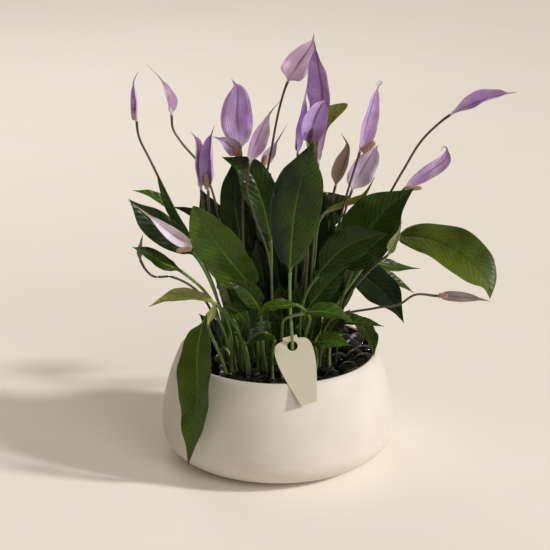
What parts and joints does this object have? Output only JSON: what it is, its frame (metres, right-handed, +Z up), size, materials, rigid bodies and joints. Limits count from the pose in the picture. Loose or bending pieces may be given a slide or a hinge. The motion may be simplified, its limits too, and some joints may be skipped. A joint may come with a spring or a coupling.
{
  "type": "potted peace lily",
  "caption": "Peace lily with dark green leaves and lilac spathes on thin stalks, growing in a round cream ceramic bowl pot topped with dark pebbles, with a blank card tag.",
  "frame": {"origin": "centre of the pot's flat foot, where it stands", "axes": "+Z up, +X to the right and -Y towards the front, the side where the tag hangs over the rim"},
  "size_m": [0.3939, 0.2975, 0.4471],
  "materials": {
    "pot_ceramic": "matte cream glaze, very finely speckled",
    "soil": "damp dark potting soil",
    "pebble": "near-black polished river pebbles",
    "card": "plain matte beige card",
    "leaf": "glossy dark green blade with sunken arched veins",
    "petiole": "smooth yellow-green stalk",
    "spathe": "soft satin lilac with fine lengthwise veins",
    "spadix": "bumpy tan spadix",
    "flower_stalk": "slender olive-brown flower stalk",
    "floor": "plain pale surface for the picture only"
  },
  "bodies": {
    "root": {"pot": "pot_ceramic", "potting_soil": "soil", "pebble_bed": "pebble", "plant_tag": "card", "leaf_front_tall": "leaf", "leaf_left_broad": "leaf", "leaf_right_broad": "leaf", "leaf_over_rim": "leaf", "leaf_right_dark": "leaf", "leaf_right_low_broad": "leaf", "leaf_right_shadow": "leaf", "leaf_rim_right": "leaf", "leaf_right_small": "leaf", "leaf_front_right": "leaf", "leaf_front_left": "leaf", "leaf_pebble_right": "leaf", "leaf_top_olive": "leaf", "leaf_left_dark": "leaf", "leaf_mid_left": "leaf", "leaf_mid_glossy": "leaf", "leaf_mid_dark": "leaf", "leaf_back_right_dark": "leaf", "leaf_olive_edge": "leaf", "leaf_left_tail": "leaf", "leaf_left_narrow": "leaf", "leaf_left_ribbon": "leaf", "leaf_left_edge": "leaf", "leaf_left_low": "leaf", "leaf_left_hook": "leaf", "leaf_front_mid": "leaf", "leaf_front_gloss": "leaf", "leaf_front_low": "leaf", "leaf_inner_gloss": "leaf", "leaf_right_tail": "leaf", "leaf_right_ribbon": "leaf", "leaf_back_centre": "leaf", "leaf_back_left": "leaf", "leaf_back_right": "leaf", "flower_far_left": "spathe", "flower_left_tall": "spathe", "flower_left_hood_a": "spathe", "flower_left_hood_b": "spathe", "flower_side": "spathe", "flower_open": "spathe", "flower_mauve": "spathe", "flower_top": "spathe", "flower_centre_tall": "spathe", "flower_centre_left": "spathe", "flower_centre_hood": "spathe", "flower_centre_right": "spathe", "flower_pale_back": "spathe", "flower_right_tall": "spathe", "flower_right_wide": "spathe", "flower_right_old": "spathe", "flower_far_right": "spathe", "flower_right_hook": "spathe", "flower_left_white": "spathe", "flower_withered_left": "spathe", "flower_withered_right": "spathe", "bud_pale": "spathe"}
  },
  "joints": []
}
